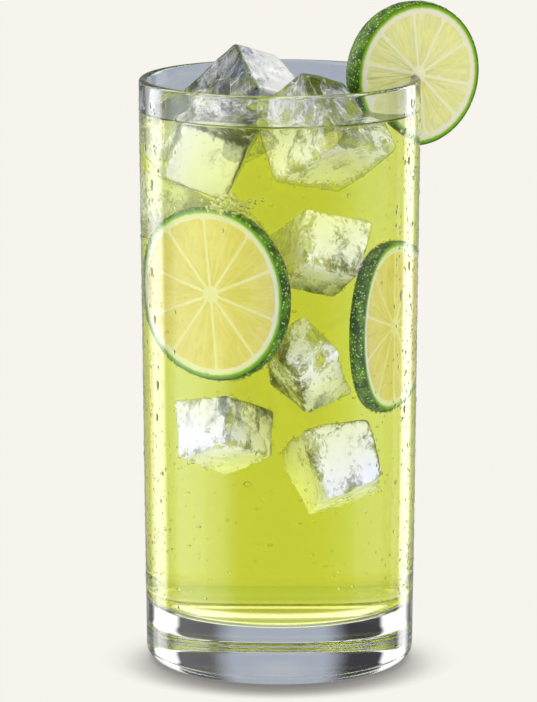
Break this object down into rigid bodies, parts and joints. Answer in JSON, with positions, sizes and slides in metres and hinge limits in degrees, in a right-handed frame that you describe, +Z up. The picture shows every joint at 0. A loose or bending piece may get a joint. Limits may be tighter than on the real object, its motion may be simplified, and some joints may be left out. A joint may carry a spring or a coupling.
{
  "type": "iced green tea",
  "caption": "Tall straight tumbler with a thick clear base, filled with pale green-yellow iced tea, floating ice cubes and a lime wheel slit onto the rim.",
  "frame": {"origin": "Centre of the foot of the tumbler, in the plane it stands on.", "axes": "+Z up along the glass, the front towards -Y, the garnished side of the rim towards +X."},
  "size_m": [0.0934, 0.077, 0.1819],
  "materials": {
    "glass": "clear polished soda-lime glass",
    "drink": "clear green-yellow tea",
    "ice": "wet clear ice with cloudy patches",
    "lime": "moist citrus flesh with a green rind"
  },
  "bodies": {
    "root": {"tumbler": "glass", "drink": "drink", "ice_peak": "ice", "ice_right": "ice", "ice_left": "ice", "lime_wheel": "lime"}
  },
  "joints": []
}
